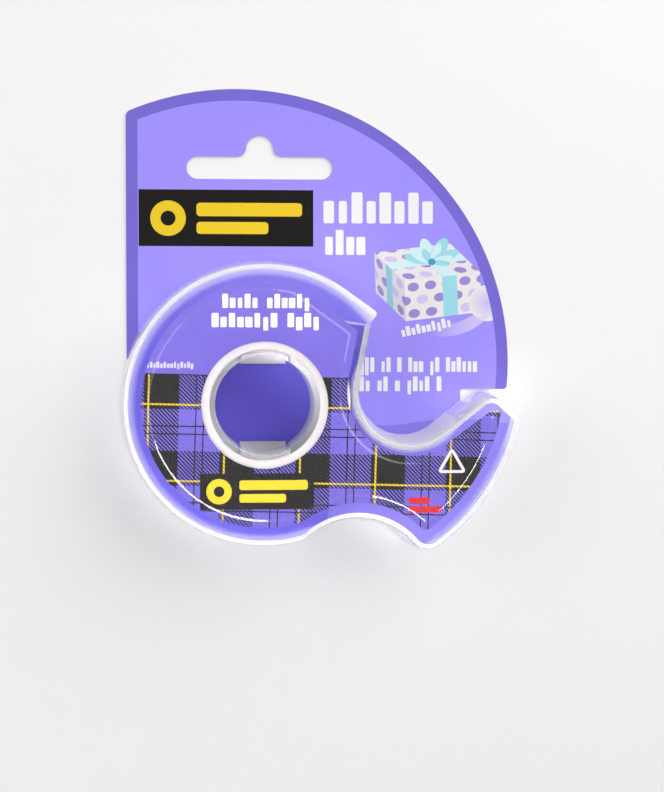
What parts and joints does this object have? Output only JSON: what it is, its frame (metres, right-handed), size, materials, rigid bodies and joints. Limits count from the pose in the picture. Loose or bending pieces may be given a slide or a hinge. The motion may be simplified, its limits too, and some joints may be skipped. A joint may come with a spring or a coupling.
{
  "type": "tape dispenser",
  "caption": "Hand-held tape dispenser with a clear shell, toothed beak, roll of film tape on a snap hub, and a hang card behind it.",
  "frame": {"origin": "on the hub's axis, at the back face of the hang card", "axes": "+Z out of the clear front plate, away from the card; +Y up the card towards its hanging slot; +X towards the toothed beak"},
  "size_m": [0.1165, 0.1353, 0.0226],
  "materials": {
    "clear_plastic": "clear gloss",
    "hang_card_print": "printed satin card",
    "label_print": "printed label",
    "satin_film": "satin film",
    "satin_roll": "satin",
    "milky_core": "milky",
    "glue": "cloudy"
  },
  "bodies": {
    "card": {"backing_card": "hang_card_print", "glue_dot_1": "glue", "glue_dot_2": "glue", "glue_dot_3": "glue", "glue_dot_4": "glue", "glue_dot_5": "glue"},
    "shell": {"face_plate": "clear_plastic", "mould_mark": "clear_plastic", "round_wall": "clear_plastic", "grip_wall": "clear_plastic", "throat_wall": "clear_plastic", "nose_wall": "clear_plastic", "cutter_teeth": "clear_plastic", "hub_sleeve": "clear_plastic", "front_label": "label_print", "tape_leader": "satin_film"},
    "roll": {"tape_core": "milky_core", "wound_tape": "satin_roll"},
    "finger_top": {"snap_finger_top": "clear_plastic"},
    "finger_bottom": {"snap_finger_bottom": "clear_plastic"}
  },
  "joints": [
    {"name": "card_release", "type": "slide", "parent": "card", "child": "shell", "axis": [0, 0, 1], "range_m": [0, 0.03]},
    {"name": "roll_spin", "type": "hinge", "parent": "shell", "child": "roll", "pos_m": [0, 0, 0.0112], "axis": [0, 0, 1], "continuous": true},
    {"name": "finger_top_flex", "type": "hinge", "parent": "shell", "child": "finger_top", "pos_m": [0, 0.014, 0.021], "axis": [-1, 0, 0], "range_deg": [0, 3], "stiffness_Nm_per_rad": 0.4},
    {"name": "finger_bottom_flex", "type": "hinge", "parent": "shell", "child": "finger_bottom", "pos_m": [0, -0.014, 0.021], "axis": [1, 0, 0], "range_deg": [0, 3], "stiffness_Nm_per_rad": 0.4}
  ]
}
